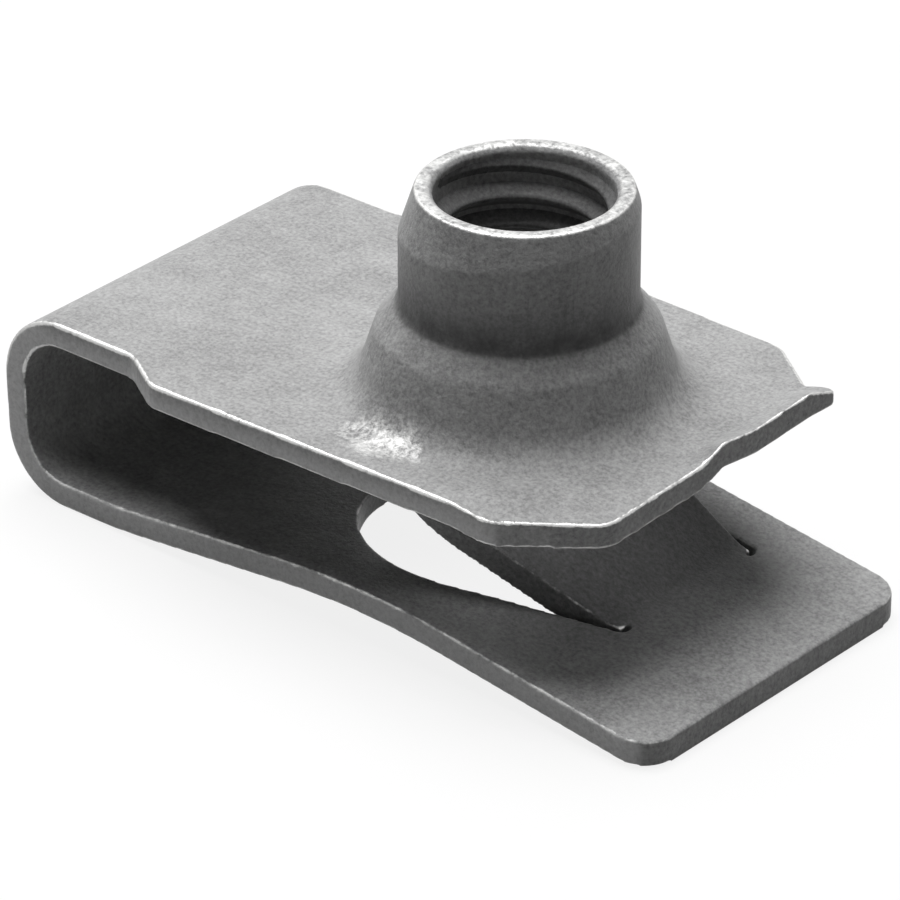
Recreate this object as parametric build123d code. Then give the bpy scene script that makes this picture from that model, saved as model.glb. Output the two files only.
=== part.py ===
from build123d import *
from math import acos, atan2, cos, hypot, radians, sin, tan
import os

# Barrel U-nut folded from one strip of spring steel, sizes in millimetres.
# The origin is on the thread axis, in the plane of the threaded leg's underside,
# which is the face that the panel bears on. +X runs from the fold to the open
# end, +Y across the strip, +Z along the thread axis towards the barrel's mouth.

# Strip
gauge = 0.9

# Threaded leg, seen from above
fold_back = 17.2
body_half_width = 7.98
body_taper = 0.36
shoulder_step = 1.13
shoulder_length = 1.8
shoulder_end = 9.4
front_margin = 2.59
corner_length = 3.25
near_corner_setback = 0.3
near_corner_inset = 2.52
ear_length = 0.95
ear_inset = 1.67
ear_flare = 0.65
shoulder_round = 1.2
corner_round = 1.1
ear_round = 0.25
notch_round = 0.2

# Lip at the front of the threaded leg: the near half dips, the far half turns up in a shallow wave
lip_near_dip = 0.75
lip_near_length = 5.6
lip_step_place = -0.7
lip_step_rise = 0.05
lip_step_length = 0.65
lip_far_length = 0.95
lip_crest_place = 0.4
lip_crest_rise = 0.5
lip_trough_place = 2.1
lip_trough_rise = 0.3
lip_far_place = 5.0
lip_far_rise = 0.45
lip_end_place = 6.45
lip_end_rise = -0.05
lip_end_thickness = 0.45
lip_overshoot = 1.5

# Barrel, drawn up from the threaded leg
thread_diameter = 6.0
barrel_wall = 0.96
barrel_height = 7.25
barrel_shift = (-0.13, -0.11)
rim_width = 0.42
rim_taper_height = 1.1
mouth_chamfer = 0.18

# Raised boss under the barrel
boss_land = 0.77
boss_flank_angle = 72.0
boss_shoulder_height = 2.3
boss_top_slope = 50.0
boss_foot_round = 1.4
boss_shoulder_round = 0.8
barrel_foot_round = 0.3
boss_ceiling_height = 1.55
boss_ceiling_slope = 45.0
ceiling_round = 0.5
foot_land = 0.05

# Fold and plain leg, seen from the side
throat = 5.15
fold_lean = 0.22
fold_upper_round = 2.6
fold_lower_round = 2.5
pinch_start = 12.0
pinch_angle = 5.3
pinch_round = 20.0
knee = 1.2
knee_round = 30.0
lead_in_angle = 7.9
tip_reach = 10.85
tip_corner_round = 1.25

# Window in the plain leg and the tongue that is lanced and raised inside it
window_centre = -0.9
window_root = 6.2
window_root_near = 2.3
window_root_far = 4.85
window_root_round = 0.3
slit = 0.2
tongue_angle = 31.0
tongue_bend_setback = 0.6
tongue_bend_round = 1.0
prong_reach = 0.7
screw_clearance = 0.3
prong_width = 1.3
prong_end_round = 0.5

# Room for a tool to run past the faces that it cuts
overrun = 2.0

# Places that follow from the sizes above
leg_top = gauge
thread_radius = thread_diameter / 2
barrel_radius = thread_radius + barrel_wall
mouth_radius = thread_radius + mouth_chamfer
rim_radius = mouth_radius + rim_width
shoulder_radius = barrel_radius + boss_land
boss_base_radius = shoulder_radius + boss_shoulder_height / tan(radians(boss_flank_angle))
neck_half_width = body_half_width - shoulder_step
front_half_width = body_half_width - body_taper
front_reach = boss_base_radius + front_margin
corner_start = front_reach - corner_length
lip_root = front_reach - lip_near_length - overrun / 2
rim_height = leg_top + barrel_height
screw_notch_radius = thread_radius + screw_clearance
window_radius = screw_notch_radius + prong_width + slit
plain_leg_outer = -(throat + gauge)
knee_outer = plain_leg_outer + (pinch_start - knee) * tan(radians(pinch_angle))
tip_outer = knee_outer - (knee + tip_reach) * tan(radians(lead_in_angle))
middle = -throat / 2


def window_side(half_width):
    """Point above the middle line where a straight side leaves the window's round for a root corner."""
    ahead = window_root - window_centre
    bearing = atan2(half_width, ahead) + acos(window_radius / hypot(ahead, half_width))
    return window_centre + window_radius * cos(bearing), window_radius * sin(bearing)


tongue_end = window_side(window_root_far)[0] - prong_reach


def left_skin(points, radii, distance):
    """Points and radii of a skin that lies to the left of a line at a distance."""
    steps = [(b - a).normalized() for a, b in zip(points, points[1:])]
    sides = [Vector(-step.Y, step.X) for step in steps]
    skin = [points[0] + sides[0] * distance]
    rounds = []
    for index, radius in enumerate(radii):
        before, after = sides[index], sides[index + 1]
        mitre = (before + after) / (1 + before.dot(after))
        skin.append(points[index + 1] + mitre * distance)
        turns_left = steps[index].cross(steps[index + 1]).Z > 0
        rounds.append(radius - distance if turns_left else radius + distance)
    skin.append(points[-1] + sides[-1] * distance)
    return skin, rounds


def strip_section(points, radii):
    """Side view of the strip: one skin through the points, the other a gauge to its left."""
    first = [Vector(*point) for point in points]
    second, rounds = left_skin(first, radii, gauge)
    skin = FilletPolyline(*first, radius=radii) if radii else Polyline(*first)
    back = FilletPolyline(*second, radius=rounds) if rounds else Polyline(*second)
    ends = [Line(skin @ 0, back @ 0), Line(skin @ 1, back @ 1)]
    return make_face(skin.edges() + back.edges() + [end.edge() for end in ends])


def across(section, half_width):
    """Solid of a side view carried across the strip, evenly to both sides."""
    return extrude(Plane.XZ * section, half_width, both=True)


def folded_strip():
    """Both legs and the fold as one wide strip, before it is trimmed to its outline."""
    points = [
        (lip_root, leg_top),
        (-fold_back, leg_top),
        (-fold_back + fold_lean, plain_leg_outer),
        (-pinch_start, plain_leg_outer),
        (-knee, knee_outer),
        (tip_reach, tip_outer),
    ]
    radii = [fold_upper_round, fold_lower_round, pinch_round, knee_round]
    return across(strip_section(points, radii), body_half_width + overrun)


def lip_section(place, length, rise, thickness=gauge):
    """Side view of the lip at a place across the leg, with its rise and thickness at the front edge."""
    fold = front_reach - length
    ahead = fold + lip_overshoot * length
    turned = leg_top + lip_overshoot * rise
    thinned = lip_overshoot * (gauge - thickness)
    return Plane.XZ.offset(-place) * make_face(Polyline(
        (lip_root, leg_top),
        (fold, leg_top),
        (ahead, turned),
        (ahead, turned - gauge + thinned),
        (fold, leg_top - gauge),
        (lip_root, leg_top - gauge),
        close=True,
    ))


def lip():
    """Front of the threaded leg: a dipped half, a short twist and an upturned half with a rolled end."""
    side = body_half_width + overrun / 2
    return loft([
        lip_section(-side, lip_near_length, -lip_near_dip),
        lip_section(lip_step_place, lip_step_length, lip_step_rise),
        lip_section(lip_crest_place, lip_far_length, lip_crest_rise),
        lip_section(lip_trough_place, lip_far_length, lip_trough_rise),
        lip_section(lip_far_place, lip_far_length, lip_far_rise),
        lip_section(lip_end_place, lip_far_length, lip_end_rise, lip_end_thickness),
        lip_section(side, lip_far_length, lip_end_rise, lip_end_thickness),
    ], ruled=True)


def threaded_leg_outline():
    """Outline of the threaded leg from above: neck, shoulders, body and clipped corners."""
    behind = fold_back + overrun
    return make_face(FilletPolyline(
        (-behind, -neck_half_width),
        (-shoulder_end - shoulder_length, -neck_half_width),
        (-shoulder_end, -body_half_width),
        (corner_start, -front_half_width),
        (front_reach - near_corner_setback, near_corner_inset - front_half_width),
        (front_reach, 0),
        (front_reach, front_half_width - ear_inset + ear_flare),
        (front_reach - ear_length, front_half_width - ear_inset),
        (corner_start, front_half_width),
        (-shoulder_end, body_half_width),
        (-shoulder_end - shoulder_length, neck_half_width),
        (-behind, neck_half_width),
        radius=[
            0, shoulder_round, shoulder_round, corner_round, corner_round, 0, ear_round,
            notch_round, corner_round, shoulder_round, shoulder_round, 0,
        ],
        close=True,
    ))


def plain_leg_outline():
    """Outline of the plain leg from above: straight sides and rounded corners at the tip."""
    behind = fold_back + overrun
    return make_face(FilletPolyline(
        (-behind, -neck_half_width),
        (tip_reach, -neck_half_width),
        (tip_reach, neck_half_width),
        (-behind, neck_half_width),
        radius=[0, tip_corner_round, tip_corner_round, 0],
        close=True,
    ))


def window_outline():
    """Round window with straight sides that run smoothly from the round to the tongue's root."""
    near_x, near_y = window_side(window_root_near)
    far_x, far_y = window_side(window_root_far)
    sides = make_face(Polyline(
        (near_x, -near_y),
        (window_root, -window_root_near),
        (window_root, window_root_far),
        (far_x, far_y),
        close=True,
    ))
    sides = fillet(sides.vertices().group_by(Axis.X)[-1], window_root_round)
    return Pos(window_centre, 0) * Circle(window_radius) + sides


def tongue_outline():
    """Fork of the tongue from above: it follows the window and leaves room for the screw."""
    fork = offset(window_outline(), -slit) & Pos(tongue_end, 0) * Rectangle(
        2 * window_root, 4 * window_radius, align=(Align.MIN, Align.CENTER))
    width = window_root_near + window_root_far - 2 * (window_root_round + slit)
    middle_line = (window_root_far - window_root_near) / 2
    root = Pos(window_root, middle_line) * Rectangle(3 * slit, width, align=(Align.MAX, Align.CENTER))
    notch = Circle(screw_notch_radius) + Rectangle(
        2 * window_radius, 2 * screw_notch_radius, align=(Align.MAX, Align.CENTER))
    fork = fork + root - notch
    ends = fork.vertices().group_by(Axis.X)[0]
    return fillet(ends, prong_end_round)


def plain_leg_inner(place):
    """Height of the plain leg's inner skin between the knee and the tip."""
    lead_in = radians(lead_in_angle)
    return knee_outer + gauge / cos(lead_in) - (place + knee) * tan(lead_in)


def tongue():
    """Tongue raised from the plain leg towards the fold, with the gauge of the strip."""
    start = window_root + overrun
    bend = window_root - tongue_bend_setback
    reach = bend - tongue_end + overrun
    points = [
        (start, plain_leg_inner(start)),
        (bend, plain_leg_inner(bend)),
        (bend - reach, plain_leg_inner(bend) + reach * tan(radians(tongue_angle))),
    ]
    slab = across(strip_section(points, [tongue_bend_round]), window_radius + overrun)
    return slab & prism(tongue_outline(), plain_leg_outer - overrun, leg_top + overrun)


def prism(outline, low, high):
    """Upright solid with an outline from above, between two heights."""
    return extrude(Pos(0, 0, low) * outline, high - low)


def rim_taper():
    """Room inside the rim's taper, which runs true to the thread and not to the drawn barrel."""
    clear = 2 * boss_base_radius
    taper_end = rim_height - 2 * rim_taper_height
    taper_radius = barrel_radius + (barrel_radius - rim_radius)
    section = make_face(Polyline(
        (0, rim_height),
        (rim_radius, rim_height),
        (taper_radius, taper_end),
        (clear, taper_end),
        (clear, -overrun),
        (0, -overrun),
        close=True,
    ))
    return revolve(Plane.XZ * section, Axis.Z)


def boss_outer():
    """Filled outer form of the boss and barrel, drawn slightly off the thread axis."""
    flank = radians(boss_flank_angle)
    top_height = boss_shoulder_height + boss_land * tan(radians(boss_top_slope))
    foot_edge = boss_base_radius + boss_foot_round * tan(flank / 2) + foot_land
    section = make_face(FilletPolyline(
        (0, rim_height),
        (barrel_radius, rim_height),
        (barrel_radius, leg_top + top_height),
        (shoulder_radius, leg_top + boss_shoulder_height),
        (boss_base_radius, leg_top),
        (foot_edge, leg_top),
        (foot_edge, leg_top - gauge / 2),
        (0, leg_top - gauge / 2),
        radius=[0, 0, barrel_foot_round, boss_shoulder_round, boss_foot_round, 0, 0, 0],
        close=True,
    ))
    drawn = Pos(*barrel_shift) * revolve(Plane.XZ * section, Axis.Z)
    return drawn & rim_taper()


def boss_hollow():
    """Hollow of the boss from the panel side and the bore up to the barrel's mouth."""
    flank = radians(boss_flank_angle)
    foot = boss_base_radius + gauge / tan(flank) - gauge / sin(flank)
    foot_round = boss_foot_round + gauge
    foot_edge = foot + foot_round * tan(flank / 2) + foot_land
    ceiling_radius = foot - (boss_ceiling_height + gauge) / tan(flank)
    bore_start = boss_ceiling_height + (ceiling_radius - thread_radius) * tan(radians(boss_ceiling_slope))
    section = make_face(FilletPolyline(
        (0, -overrun),
        (foot_edge, -overrun),
        (foot_edge, 0),
        (foot, 0),
        (ceiling_radius, leg_top + boss_ceiling_height),
        (thread_radius, leg_top + bore_start),
        (thread_radius, rim_height - mouth_chamfer),
        (mouth_radius, rim_height),
        (mouth_radius, rim_height + overrun),
        (0, rim_height + overrun),
        radius=[0, 0, 0, foot_round, ceiling_round, 0, 0, 0, 0, 0],
        close=True,
    ))
    return revolve(Plane.XZ * section, Axis.Z)


def u_nut():
    """The whole nut in one solid: strip, lip, boss, barrel, window and tongue."""
    strip = folded_strip()
    bulk = 4 * fold_back
    above = Pos(0, 0, middle) * Box(bulk, bulk, bulk, align=(Align.CENTER, Align.CENTER, Align.MIN))
    threaded_leg = (strip & above) + lip()
    threaded_leg &= prism(threaded_leg_outline(), middle - overrun, rim_height + overrun)
    threaded_leg += boss_outer()
    threaded_leg -= boss_hollow()
    plain_leg = (strip - above) & prism(plain_leg_outline(), tip_outer - overrun, middle + overrun)
    plain_leg -= prism(window_outline(), tip_outer - overrun, middle)
    return threaded_leg + plain_leg + tongue()


os.makedirs("parts", exist_ok=True)
nut = u_nut()
export_step(nut, "parts/u_nut.step")
print("volume", round(nut.volume, 3), "solids", len(nut.solids()))
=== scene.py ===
# %% [markdown]
# # A clip nut folded from one strip of spring steel
#
# The real nut is pierced, drawn, lanced and folded from a single strip, then phosphated and
# oiled. It slides over the edge of a panel, and a screw comes up through the window and the
# panel into the thread of the barrel. The solids of the frame fix every size. This script
# gives them what a press and a barrel of oil leave behind: softly rounded edges, a real
# thread in the bore, and a mottled satin skin.

# %% Load the frame
from math import radians, tau

import bmesh
import bpy
import numpy as np
from mathutils import Matrix, Vector
from mathutils.kdtree import KDTree


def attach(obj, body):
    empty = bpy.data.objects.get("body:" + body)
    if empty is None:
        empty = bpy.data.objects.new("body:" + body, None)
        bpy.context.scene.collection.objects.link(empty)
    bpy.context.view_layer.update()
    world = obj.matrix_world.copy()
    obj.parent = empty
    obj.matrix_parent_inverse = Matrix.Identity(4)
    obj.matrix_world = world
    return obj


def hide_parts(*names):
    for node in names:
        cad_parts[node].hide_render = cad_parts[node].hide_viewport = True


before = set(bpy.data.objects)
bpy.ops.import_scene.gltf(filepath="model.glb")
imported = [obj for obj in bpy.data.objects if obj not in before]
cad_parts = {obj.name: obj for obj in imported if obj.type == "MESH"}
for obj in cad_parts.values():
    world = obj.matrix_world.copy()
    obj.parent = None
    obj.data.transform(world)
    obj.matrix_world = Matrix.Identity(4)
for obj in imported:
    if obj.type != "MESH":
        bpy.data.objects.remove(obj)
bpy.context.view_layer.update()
strip_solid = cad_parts["u_nut"]
mm = 0.001
scene = bpy.context.scene


def add_object(name, data):
    """Object of a mesh, a lamp or a camera, linked to the scene."""
    thing = bpy.data.objects.new(name, data)
    scene.collection.objects.link(thing)
    return thing


# %% [markdown]
# ## The camera
#
# The picture was taken with a long lens from the right of the nut and above it. A camera
# can be told to look at a point, but then that point is always the picture's middle. Here
# the lens has a place in millimetres from the nut's own origin and two angles, one to the
# side and one downwards, so the nut can stand where it stands in the photograph. A long
# lens keeps the legs of the nut almost parallel.

# %% Camera
camera_place = Vector((124.132, -149.799, 104.381)) * mm
camera_azimuth, camera_elevation = 40.361, 28.570

lens_data = bpy.data.cameras.new("camera")
lens_data.sensor_width = 36.0
lens_data.lens = 268.19
lens_data.clip_start, lens_data.clip_end = 0.005, 20.0
camera = add_object("camera", lens_data)
camera.location = camera_place
camera.rotation_euler = (radians(90 - camera_elevation), 0, radians(camera_azimuth))
scene.camera = camera
print("camera distance in mm:", round(camera_place.length / mm, 1), "lens:", lens_data.lens)

# %% [markdown]
# ## Helpers for surfaces
#
# A grid of points is the simplest surface there is: a function of two parameters gives a
# place in space for every row and column, and faces join neighbours. The thread's surface
# closes on itself like a hose, so its last column is joined to its first one.


# %% Surface helpers
def tube_faces(rows, columns):
    """Four-cornered faces of a closed grid: each joins a point to its right, upper right
    and upper neighbour, and right of the last column comes the first one."""
    row, column = np.meshgrid(np.arange(rows - 1), np.arange(columns), indexing="ij")
    after = (column + 1) % columns
    here, above = row * columns, (row + 1) * columns
    corners = [here + column, here + after, above + after, above + column]
    return np.stack([corner.ravel() for corner in corners], axis=1)


def add_piece(name, mesh, material):
    """Piece of a mesh in metres, shaded smooth, in one material."""
    mesh.polygons.foreach_set("use_smooth", np.ones(len(mesh.polygons), bool))
    mesh.materials.clear()
    mesh.materials.append(material)
    print(name, "has", len(mesh.vertices), "points and", len(mesh.polygons), "faces")
    return add_object(name, mesh)


# %% [markdown]
# ## Helpers for materials
#
# A material is a tree of nodes, and typing each node and link out would bury the idea. A few
# helpers add one node each and say in their name what it does to a value or a colour.


# %% Node helpers
def new_group(name, inputs, outputs):
    """Empty node group with named number sockets, and the sockets of its two ends."""
    group = bpy.data.node_groups.new(name, "ShaderNodeTree")
    for label, value in inputs.items():
        socket = group.interface.new_socket(label, in_out="INPUT", socket_type="NodeSocketFloat")
        socket.default_value = value
    for label in outputs:
        group.interface.new_socket(label, in_out="OUTPUT", socket_type="NodeSocketFloat")
    start, end = group.nodes.new("NodeGroupInput"), group.nodes.new("NodeGroupOutput")
    return group, start.outputs, end.inputs


def add_node(tree, kind, settings=(), **sockets):
    """Adds a node, sets its properties, and fills its sockets with values or links.

    A socket is named by its label, or by i and its number where a node repeats a label.
    """
    node = tree.nodes.new(kind)
    for key, value in dict(settings).items():
        setattr(node, key, value)
    for label, value in sockets.items():
        by_number = label[0] == "i" and label[1:].isdigit()
        socket = node.inputs[int(label[1:]) if by_number else label]
        if isinstance(value, bpy.types.NodeSocket):
            tree.links.new(value, socket)
        else:
            socket.default_value = value
    return node


def noise(tree, place, scale, detail, roughness):
    """Fractal noise between 0 and 1 at a number of cells to the metre."""
    sockets = {"Vector": place, "Scale": scale, "Detail": detail, "Roughness": roughness}
    return add_node(tree, "ShaderNodeTexNoise", **sockets).outputs["Fac"]


def remap(tree, value, low, high, to_low, to_high):
    """Straight-line change of a value's range, held at both ends."""
    sockets = {"i0": value, "i1": low, "i2": high, "i3": to_low, "i4": to_high}
    return add_node(tree, "ShaderNodeMapRange", {"clamp": True}, **sockets).outputs[0]


def combine(tree, operation, first, second):
    """Sum, product, quotient or larger of two values."""
    settings = {"operation": operation}
    return add_node(tree, "ShaderNodeMath", settings, i0=first, i1=second).outputs[0]


def weighted_sum(tree, weighed):
    """Sum of values, each times its own weight."""
    total, *rest = [combine(tree, "MULTIPLY", value, weight) for value, weight in weighed]
    for part in rest:
        total = combine(tree, "ADD", total, part)
    return total


def blend_colours(tree, share, first, second):
    """The first colour where the share is 0, and the second one where it is 1."""
    settings = {"data_type": "RGBA"}
    return add_node(tree, "ShaderNodeMix", settings, i0=share, i6=first, i7=second).outputs[2]


def grey(lightness):
    """Opaque grey."""
    return (lightness, lightness, lightness, 1.0)


# %% [markdown]
# ## The phosphate film
#
# Steel that has been phosphated and oiled is a patchwork: two sizes of cloud, where the film
# is thicker or thinner, and a fine grain of crystals that only shows close up. A picture
# could be wrapped round the nut, but it would stretch on the boss. Noise in the object's own
# metres has the same size everywhere. The strip and its thread both have the film, so it is
# a node group, built once. It gives out the film's thickness and its relief, and its mottle
# and grain apart, because rubbing follows those.

# %% Film group
mottles_to_a_cloud = 3.7

film, film_in, film_out = new_group(
    "phosphate film",
    {"Cloud size mm": 3.0, "Grain size mm": 0.15},
    ["Thickness", "Relief", "Mottle", "Grain"],
)
film_place = add_node(film, "ShaderNodeTexCoord").outputs["Object"]
cloud_scale = combine(film, "DIVIDE", 1000.0, film_in["Cloud size mm"])
grain_scale = combine(film, "DIVIDE", 1000.0, film_in["Grain size mm"])
mottle_scale = combine(film, "MULTIPLY", cloud_scale, mottles_to_a_cloud)
clouds = noise(film, film_place, cloud_scale, 4.0, 0.6)
mottle = noise(film, film_place, mottle_scale, 3.0, 0.65)
grain = noise(film, film_place, grain_scale, 3.0, 0.7)
film_values = {
    "Thickness": weighted_sum(film, [(clouds, 0.25), (mottle, 0.2), (grain, 0.65)]),
    "Relief": weighted_sum(film, [(grain, 0.5), (mottle, 0.8)]),
    "Mottle": mottle,
    "Grain": grain,
}
for label, value in film_values.items():
    film.links.new(value, film_out[label])
print("film group sockets:", [item.name for item in film.interface.items_tree])

# %% [markdown]
# ## Marks of the press, of handling and of painted light
#
# Only the strip has these. They could be painted by hand, but the mesh knows its own sides
# and bends, so it will carry three marks for every point. The sides are lighter, partly as
# sheared steel and partly as painted light bounced up from the floor. Painted shade darkens
# the lower barrel and the tongue. Bare metal shines where the film is rubbed off, and painted
# highlights shine on lit edges, the rim and a patch by the boss. The film's mottle and grain
# break them up, because no rubbed spot has a clean outline.

# %% Marks on the strip
# Light sides (sheared steel and painted bounce light), painted shade, bare metal and highlight.
sheared_and_lit_colour, painted_shade_colour, bare_and_highlight_colour = grey(0.72), grey(0.05), (0.62, 0.62, 0.61, 1.0)


def broken_mark(tree, name, pattern, *limits):
    """A mark that the mesh carries, made weaker or stronger by a pattern of the film."""
    carried = add_node(tree, "ShaderNodeAttribute", {"attribute_name": name}).outputs["Fac"]
    return combine(tree, "MULTIPLY", carried, remap(tree, pattern, *limits))


def strip_marks(tree, skin, colour):
    """Lays lit sides, painted shade, wear and painted highlights on a colour; says how bare."""
    mottle, grain = skin["Mottle"], skin["Grain"]
    # Sheared steel, made lighter also as painted light bounced up from the floor.
    sheared_and_lit = broken_mark(tree, "cut_and_bounce_light", grain, 0.3, 0.7, 0.6, 1.0)
    colour = blend_colours(tree, sheared_and_lit, colour, sheared_and_lit_colour)
    # Painted shade on the lower barrel and round the tongue.
    painted_shade_share = broken_mark(tree, "painted_shade", mottle, 0.3, 0.7, 0.6, 1.0)
    colour = blend_colours(tree, painted_shade_share, colour, painted_shade_colour)
    # Bare metal where rubbed, and painted highlights on lit edges, the rim and a patch.
    patches = combine(tree, "ADD", mottle, grain)
    rubbed_and_highlit = broken_mark(tree, "wear_and_highlight", patches, 0.7, 1.3, 0.5, 1.5)
    worn_and_highlit = remap(tree, rubbed_and_highlit, 0.3, 0.8, 0.0, 1.0)
    return blend_colours(tree, worn_and_highlit, colour, bare_and_highlight_colour), worn_and_highlit


# %% [markdown]
# ## The steel
#
# Phosphated steel is darker and duller than bare steel: the film scatters light, and only
# the oil on it shines, so its specular level is low. It could be one flat grey, but then it
# would look like paint. Colour and gloss follow the film's thickness, from its thin, dark
# places to its thick, light ones. The thread is the same steel in darker tones, which are
# painted shade for the inside of the bore.

# %% Steel material
bare_and_highlight_metallic = 0.7
relief_height = 0.06 * mm


def steel_material(name, tones, gloss, bump, cloud_size, grain_size, marks=None):
    """Material whose colour, roughness and bump follow the film, with marks over them."""
    material = bpy.data.materials.new(name)
    material.use_nodes = True
    tree = material.node_tree
    shader = tree.nodes["Principled BSDF"].inputs
    skin_node = tree.nodes.new("ShaderNodeGroup")
    skin_node.node_tree = film
    skin_node.inputs["Cloud size mm"].default_value = cloud_size
    skin_node.inputs["Grain size mm"].default_value = grain_size
    skin = skin_node.outputs
    shade = remap(tree, skin["Thickness"], 0.39, 0.71, 0.0, 1.0)
    colour = blend_colours(tree, shade, *map(grey, tones))
    if marks:
        # Bare metal and painted highlights from the marks make the steel partly metallic.
        colour, worn_and_highlit = marks(tree, skin, colour)
        metallic = remap(tree, worn_and_highlit, 0.0, 1.0, 0.0, bare_and_highlight_metallic)
        tree.links.new(metallic, shader["Metallic"])
    tree.links.new(colour, shader["Base Color"])
    tree.links.new(remap(tree, skin["Thickness"], 0.4, 0.8, *gloss), shader["Roughness"])
    sockets = {"Height": skin["Relief"], "Strength": bump, "Distance": relief_height}
    bumped = add_node(tree, "ShaderNodeBump", **sockets)
    tree.links.new(bumped.outputs["Normal"], shader["Normal"])
    shader["Specular IOR Level"].default_value = 0.15
    return material


strip_steel = steel_material(
    "spring steel", tones=(0.2, 0.46), gloss=(0.36, 0.56), bump=0.8,
    cloud_size=3.0, grain_size=0.15, marks=strip_marks)
# The thread's darker tones are painted shade of the bore.
shaded_thread_steel = steel_material(
    "shaded thread steel", tones=(0.08, 0.2), gloss=(0.30, 0.45), bump=0.5,
    cloud_size=3.0, grain_size=0.15)
print("materials:", [material.name for material in bpy.data.materials])

# %% [markdown]
# ## The strip
#
# The solid has knife-sharp edges, and no pressed part has those: the punch rolls one edge
# over and the tumbling barrel takes the rest. A bevel would have to be told every edge, so
# this step does what the barrel does. A copy of the solid is cut into even little cells,
# and the cells' points are laid on the true faces, because cells alone leave wavy edges.
# Then each point moves a few times towards the middle of its neighbours, which wears the
# corners and leaves flats as they are.

# %% Even skin
cell = 0.07
welding_reach = 1e-6


def baked_mesh(temporary):
    """Mesh of a temporary object with its modifiers worked in. The object is taken away."""
    evaluated = temporary.evaluated_get(bpy.context.evaluated_depsgraph_get())
    mesh = bpy.data.meshes.new_from_object(evaluated)
    bpy.data.objects.remove(temporary)
    return mesh


skin_mesh = strip_solid.data.copy()
welded = bmesh.new()
welded.from_mesh(skin_mesh)
bmesh.ops.remove_doubles(welded, verts=welded.verts, dist=welding_reach)
welded.to_mesh(skin_mesh)
welded.free()
skin_mesh.transform(Matrix.Scale(1 / mm, 4))
cell_cutter = add_object("cell_cutter", skin_mesh)
even = cell_cutter.modifiers.new("even cells", "REMESH")
even.mode, even.voxel_size, even.adaptivity = "VOXEL", cell, 0.0
true_faces = add_object("true_faces", skin_mesh)
laid_on = cell_cutter.modifiers.new("laid on the true faces", "SHRINKWRAP")
laid_on.target, laid_on.wrap_method = true_faces, "NEAREST_SURFACEPOINT"
even_mesh = baked_mesh(cell_cutter)
bpy.data.objects.remove(true_faces)
print("even skin:", len(even_mesh.vertices), "points,", len(even_mesh.polygons), "faces")

# %% [markdown]
# The same averaging says where the steel bends. A point that stands proud of its neighbours
# lies on an outward bend, and its distance from their middle gives the bend's curvature.

# %% Wear the corners
wearing_rounds, calming_rounds = 4, 2


def mesh_arrays(mesh):
    """Points and edges of a mesh as whole arrays."""
    points = np.empty(len(mesh.vertices) * 3)
    mesh.vertices.foreach_get("co", points)
    edges = np.empty(len(mesh.edges) * 2, int)
    mesh.edges.foreach_get("vertices", edges)
    return points.reshape(-1, 3), edges.reshape(-1, 2)


def neighbour_mean(values, edges):
    """Mean of each point's neighbours: sums over both ends of every edge, over their number."""
    total = np.zeros_like(values)
    np.add.at(total, edges[:, 0], values[edges[:, 1]])
    np.add.at(total, edges[:, 1], values[edges[:, 0]])
    count = np.bincount(edges.ravel(), minlength=len(values))
    return total / count[:, None]


points, edges = mesh_arrays(even_mesh)
for _ in range(wearing_rounds):
    points = points + 0.5 * (neighbour_mean(points, edges) - points)
even_mesh.vertices.foreach_set("co", points.ravel())
even_mesh.update()
normals = np.empty(len(points) * 3)
even_mesh.vertices.foreach_get("normal", normals)
normals = normals.reshape(-1, 3)
bend = ((points - neighbour_mean(points, edges)) * normals).sum(axis=1)
for _ in range(calming_rounds):
    bend = 0.5 * bend + 0.5 * neighbour_mean(bend[:, None], edges)[:, 0]
curvature = 4 * bend / cell**2
print("outward curvature per mm that 1 point in 20 passes:", np.percentile(curvature, 95).round(2))

# %% [markdown]
# ### Where the marks lie
#
# The sheared sides of the strip are light, and darker just under the top edge, where the
# punch burnished them; their lightening further down is also painted light bounced up from
# the floor. Painted shade darkens the lower barrel towards its foot and the tongue under the
# upper leg. Sharp outward bends and the barrel's rim rub against the other nuts in the
# tumbler and shine; the shine is also a painted highlight, full on the lit upper side and
# weaker below, and the rim's top is a painted highlight. A small painted highlight lies
# beside the boss on the upper leg. The points could be picked by hand, but there are far too
# many of them. A smooth step of a point's place, direction or bend marks them all at once.


# %% Sides, oil and rubbed places
def ramp(values, low, high):
    """Smooth step from 0 below one value to 1 above another."""
    share = np.clip((values - low) / (high - low), 0.0, 1.0)
    return share * share * (3 - 2 * share)


def fade(values, low, high):
    """Smooth step from 1 below one value to 0 above another."""
    return 1 - ramp(values, low, high)


x, y, z = points.T
leg_top, leg_under = 0.9, -0.2
side_from = 6.3
sides = ramp(np.abs(normals[:, 1]), 0.7, 0.9) * (np.abs(y) > side_from)
below_top = np.where(z > leg_under, leg_top - z, leg_top)
# Sides lighter towards their bottom: sheared steel, and painted light bounced up from the floor.
cut_and_bounce_light = sides * (0.3 + 0.7 * ramp(below_top, 0.15, 0.5))

barrel_x, barrel_y = -0.13, -0.11
from_axis = np.hypot(x - barrel_x, y - barrel_y)
# Painted shade on the lower barrel, darkest towards its foot.
painted_shade_on_barrel = ramp(from_axis, 3.7, 3.85) * fade(from_axis, 4.0, 4.15) * fade(z, 4.0, 6.4)
tongue_x, tongue_y = 3.0, 0.6
near_tongue = fade(np.abs(x - tongue_x), 2.4, 4.4) * fade(np.abs(y - tongue_y), 3.6, 6.0)
# Painted shade of the upper leg on the tongue, joined with the barrel's.
painted_shade = np.maximum(painted_shade_on_barrel, 0.6 * near_tongue * (z < leg_under))

bright_bend = 2.4
# Wear and painted highlights on sharp edges, full on the lit upper side and weaker below.
lit_side = np.where(z > -1.5, 1.0, 0.4)
sharp_edge_shine = (curvature - bright_bend) / bright_bend * lit_side
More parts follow.
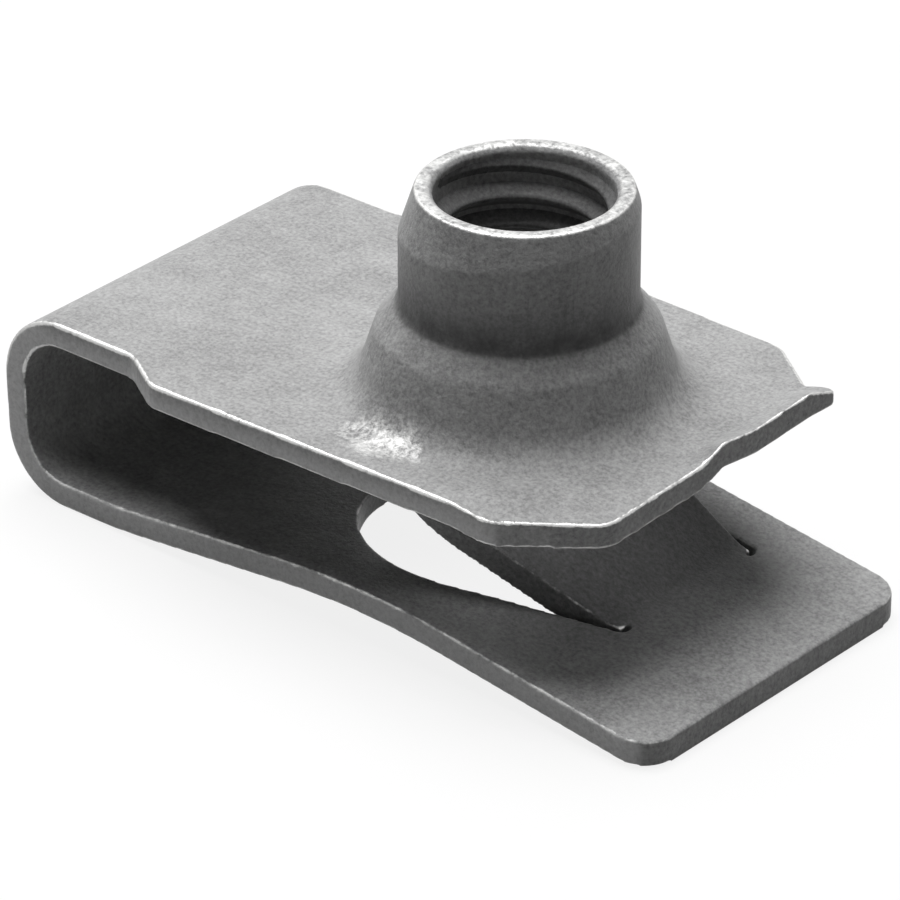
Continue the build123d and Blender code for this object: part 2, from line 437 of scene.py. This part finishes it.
# Painted highlight on the rim's top.
rim_highlight = 0.5 * ramp(z, 8.02, 8.1)
# Painted highlight on the upper leg beside the boss.
patch_place, patch_shape = np.array([-0.9, -6.1, leg_top]), np.array([0.6, 1.1, 1.0])
from_patch = np.linalg.norm((points - patch_place) * patch_shape, axis=1)
highlight_patch = 0.52 * fade(from_patch, 0.4, 2.0)
wear_and_highlight = np.clip(np.maximum.reduce([sharp_edge_shine, highlight_patch, rim_highlight]), 0.0, 1.0)

marks = {"wear_and_highlight": wear_and_highlight, "cut_and_bounce_light": cut_and_bounce_light, "painted_shade": painted_shade}
for name, values in marks.items():
    print("share of points marked", name, "over 0.3:", (values > 0.3).mean().round(3))

# %% [markdown]
# Flats need few faces and corners need many. The even cells are thinned out where the skin
# is flat, and each point that stays takes its marks from the nearest even point.

# %% Thin out the flats
triangles_kept = 170000

thinner = add_object("thinner", even_mesh)
thin_out = thinner.modifiers.new("thin out", "DECIMATE")
thin_out.ratio = triangles_kept / (2 * len(even_mesh.polygons))
strip_mesh = baked_mesh(thinner)
even_places = KDTree(len(points))
for index, point in enumerate(points):
    even_places.insert(point, index)
even_places.balance()
nearest = [even_places.find(vertex.co)[1] for vertex in strip_mesh.vertices]
for name, values in marks.items():
    attribute = strip_mesh.attributes.new(name, "FLOAT", "POINT")
    attribute.data.foreach_set("value", values[nearest].astype(np.float32))
strip_mesh.transform(Matrix.Scale(mm, 4))

# %% Pressed strip
pressed_strip = add_piece("pressed_strip", strip_mesh, strip_steel)
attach(pressed_strip, "root")
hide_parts("u_nut")

# %% [markdown]
# ## The thread
#
# The bore of the frame is plain. A tap cuts a groove into it, and what stands between two
# turns of the groove is a ridge that climbs one pitch a turn. The groove could be cut with a
# screw-shaped cutter, which leaves slivers where two curved faces meet. The ridge is simpler
# and always closed: a profile, a blunt triangle, carried along a helix. At both ends the
# profile sinks into the wall, as a real thread runs out.

# %% Thread ridge
pitch = 1.0
bore_radius, crest_radius = 3.0, 2.56
thread_low, thread_high = 4.09, 7.84
rim_limit = 7.9
steps_in_a_turn, runout_turns = 96, 1.0
ridge_depth = bore_radius - crest_radius
profile_depth = np.array([-0.05, 0.0, 0.8, 1.0, 1.0, 0.8, 0.0, -0.05]) * ridge_depth
profile_height = np.array([-0.44, -0.42, -0.13, -0.06, 0.06, 0.13, 0.42, 0.44]) * pitch


def thread_points():
    """Points of the ridge, one row for each step round the helix.

    At angle a, a profile place of depth d and height h lies at radius R - d * s and height
    z0 + pitch * a / turn + h * t. The run-out grows smoothly from 0 to 1 in the first turn
    and falls back to 0 in the last one. With it s goes from just under 0, which is inside
    the wall, to 1, and t from 0.4 to 1. No place is higher than the limit under the rim.
    """
    turns = (thread_high - thread_low) / pitch
    angle = np.linspace(0, turns * tau, int(turns * steps_in_a_turn))[:, None]
    from_end = np.minimum(angle, angle[-1] - angle) / (runout_turns * tau)
    runout = ramp(from_end, 0, 1)
    radius = bore_radius - profile_depth * (1.1 * runout - 0.1)
    level = thread_low + pitch * angle / tau + profile_height * (0.4 + 0.6 * runout)
    level = np.minimum(level, rim_limit)
    return np.stack([radius * np.cos(angle), radius * np.sin(angle), level], axis=2)


ridge = thread_points()
rows, columns = ridge.shape[:2]
first_end = np.arange(columns)[::-1]
last_end = (rows - 1) * columns + np.arange(columns)
ridge_faces = [*tube_faces(rows, columns).tolist(), first_end.tolist(), last_end.tolist()]
ridge_mesh = bpy.data.meshes.new("thread_ridge")
ridge_mesh.from_pydata((ridge.reshape(-1, 3) * mm).tolist(), [], ridge_faces)
thread_ridge = add_piece("thread_ridge", ridge_mesh, shaded_thread_steel)
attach(thread_ridge, "root")

# %% [markdown]
# ## The floor
#
# The nut stands on the tip of its plain leg and on the underside of its fold, which are not
# quite level with each other. The floor is laid through both, so the nut rests on it as it
# would on a table. A plain white floor would turn grey in the picture and light the nut from
# below. So the camera sees a floor that also glows, which keeps it white and still lets the
# nut's shadow show, and for all other light the floor is a darker grey.

# %% Floor
floor_reach, floor_gap = 1500 * mm, 0.02 * mm
behind_from = -5 * mm

shape, _ = mesh_arrays(pressed_strip.data)
tip = shape[np.argmin(shape[:, 2])]
behind = shape[shape[:, 0] < behind_from]
slope = ((tip[2] - behind[:, 2]) / (tip[0] - behind[:, 0])).max()
floor_corners = [
    (across * floor_reach, along * floor_reach,
     tip[2] + (across * floor_reach - tip[0]) * slope - floor_gap)
    for across, along in ((-1, -1), (1, -1), (1, 1), (-1, 1))
]
floor_mesh = bpy.data.meshes.new("floor")
floor_mesh.from_pydata(floor_corners, [], [(0, 1, 2, 3)])
floor = add_object("floor", floor_mesh)
print("floor slope in degrees:", round(float(np.degrees(np.arctan(slope))), 2))

# %% Floor paint
unseen_tone, seen_tone, glow_share = 0.28, 0.86, 0.85

floor_paint = bpy.data.materials.new("floor paint")
floor_paint.use_nodes = True
paint = floor_paint.node_tree
paint_shader, paint_out = paint.nodes["Principled BSDF"], paint.nodes["Material Output"]
paint_shader.inputs["Roughness"].default_value = 0.9
sight = add_node(paint, "ShaderNodeLightPath").outputs
tone = remap(paint, sight["Is Camera Ray"], 0.0, 1.0, unseen_tone, seen_tone)
paint.links.new(tone, paint_shader.inputs["Base Color"])
seen = combine(paint, "MAXIMUM", sight["Is Camera Ray"], sight["Is Glossy Ray"])
glow = combine(paint, "MULTIPLY", seen, glow_share)
white = add_node(paint, "ShaderNodeEmission", Color=grey(1.0), Strength=1.0).outputs[0]
mixed = add_node(paint, "ShaderNodeMixShader", i0=glow, i1=paint_shader.outputs[0], i2=white)
paint.links.new(mixed.outputs[0], paint_out.inputs["Surface"])
floor_mesh.materials.append(floor_paint)
print("floor tone unseen and seen:", unseen_tone, seen_tone)

# %% [markdown]
# ## The light
#
# One large soft lamp hangs over the nut, a little behind it and to its left. A small lamp or
# the sun would draw hard shadows, and the photograph has none. The large one lights the
# upper faces evenly and leaves the upright ones in half shade, which shows the steps of the
# boss. The room itself is a dim grey that cameras see as white.

# %% Lamp
lamp_place = Vector((-80, 45, 275))
lamp_size = 250

lamp_data = bpy.data.lights.new("key lamp", "AREA")
lamp_data.shape, lamp_data.size, lamp_data.energy = "SQUARE", lamp_size * mm, 1.36
key_lamp = add_object("key lamp", lamp_data)
key_lamp.location = lamp_place * mm
key_lamp.rotation_euler = (-lamp_place).to_track_quat("-Z", "Y").to_euler()
print("lamp distance in mm:", round(lamp_place.length), "power:", round(lamp_data.energy, 2))

# %% Room
room_grey, room_white = 0.05, 1.0

room = bpy.data.worlds.new("room")
scene.world = room
room.use_nodes = True
air = room.node_tree
air.nodes.clear()
dim, bright = (
    add_node(air, "ShaderNodeBackground", Color=grey(1.0), Strength=strength).outputs[0]
    for strength in (room_grey, room_white))
sight = add_node(air, "ShaderNodeLightPath").outputs
seen = combine(air, "MAXIMUM", sight["Is Camera Ray"], sight["Is Glossy Ray"])
seen = combine(air, "MAXIMUM", seen, sight["Is Transmission Ray"])
mixed = add_node(air, "ShaderNodeMixShader", i0=seen, i1=dim, i2=bright)
air.links.new(mixed.outputs[0], add_node(air, "ShaderNodeOutputWorld").inputs["Surface"])
scene.view_settings.view_transform = "Standard"
print("room strength for light and for the camera:", room_grey, room_white)
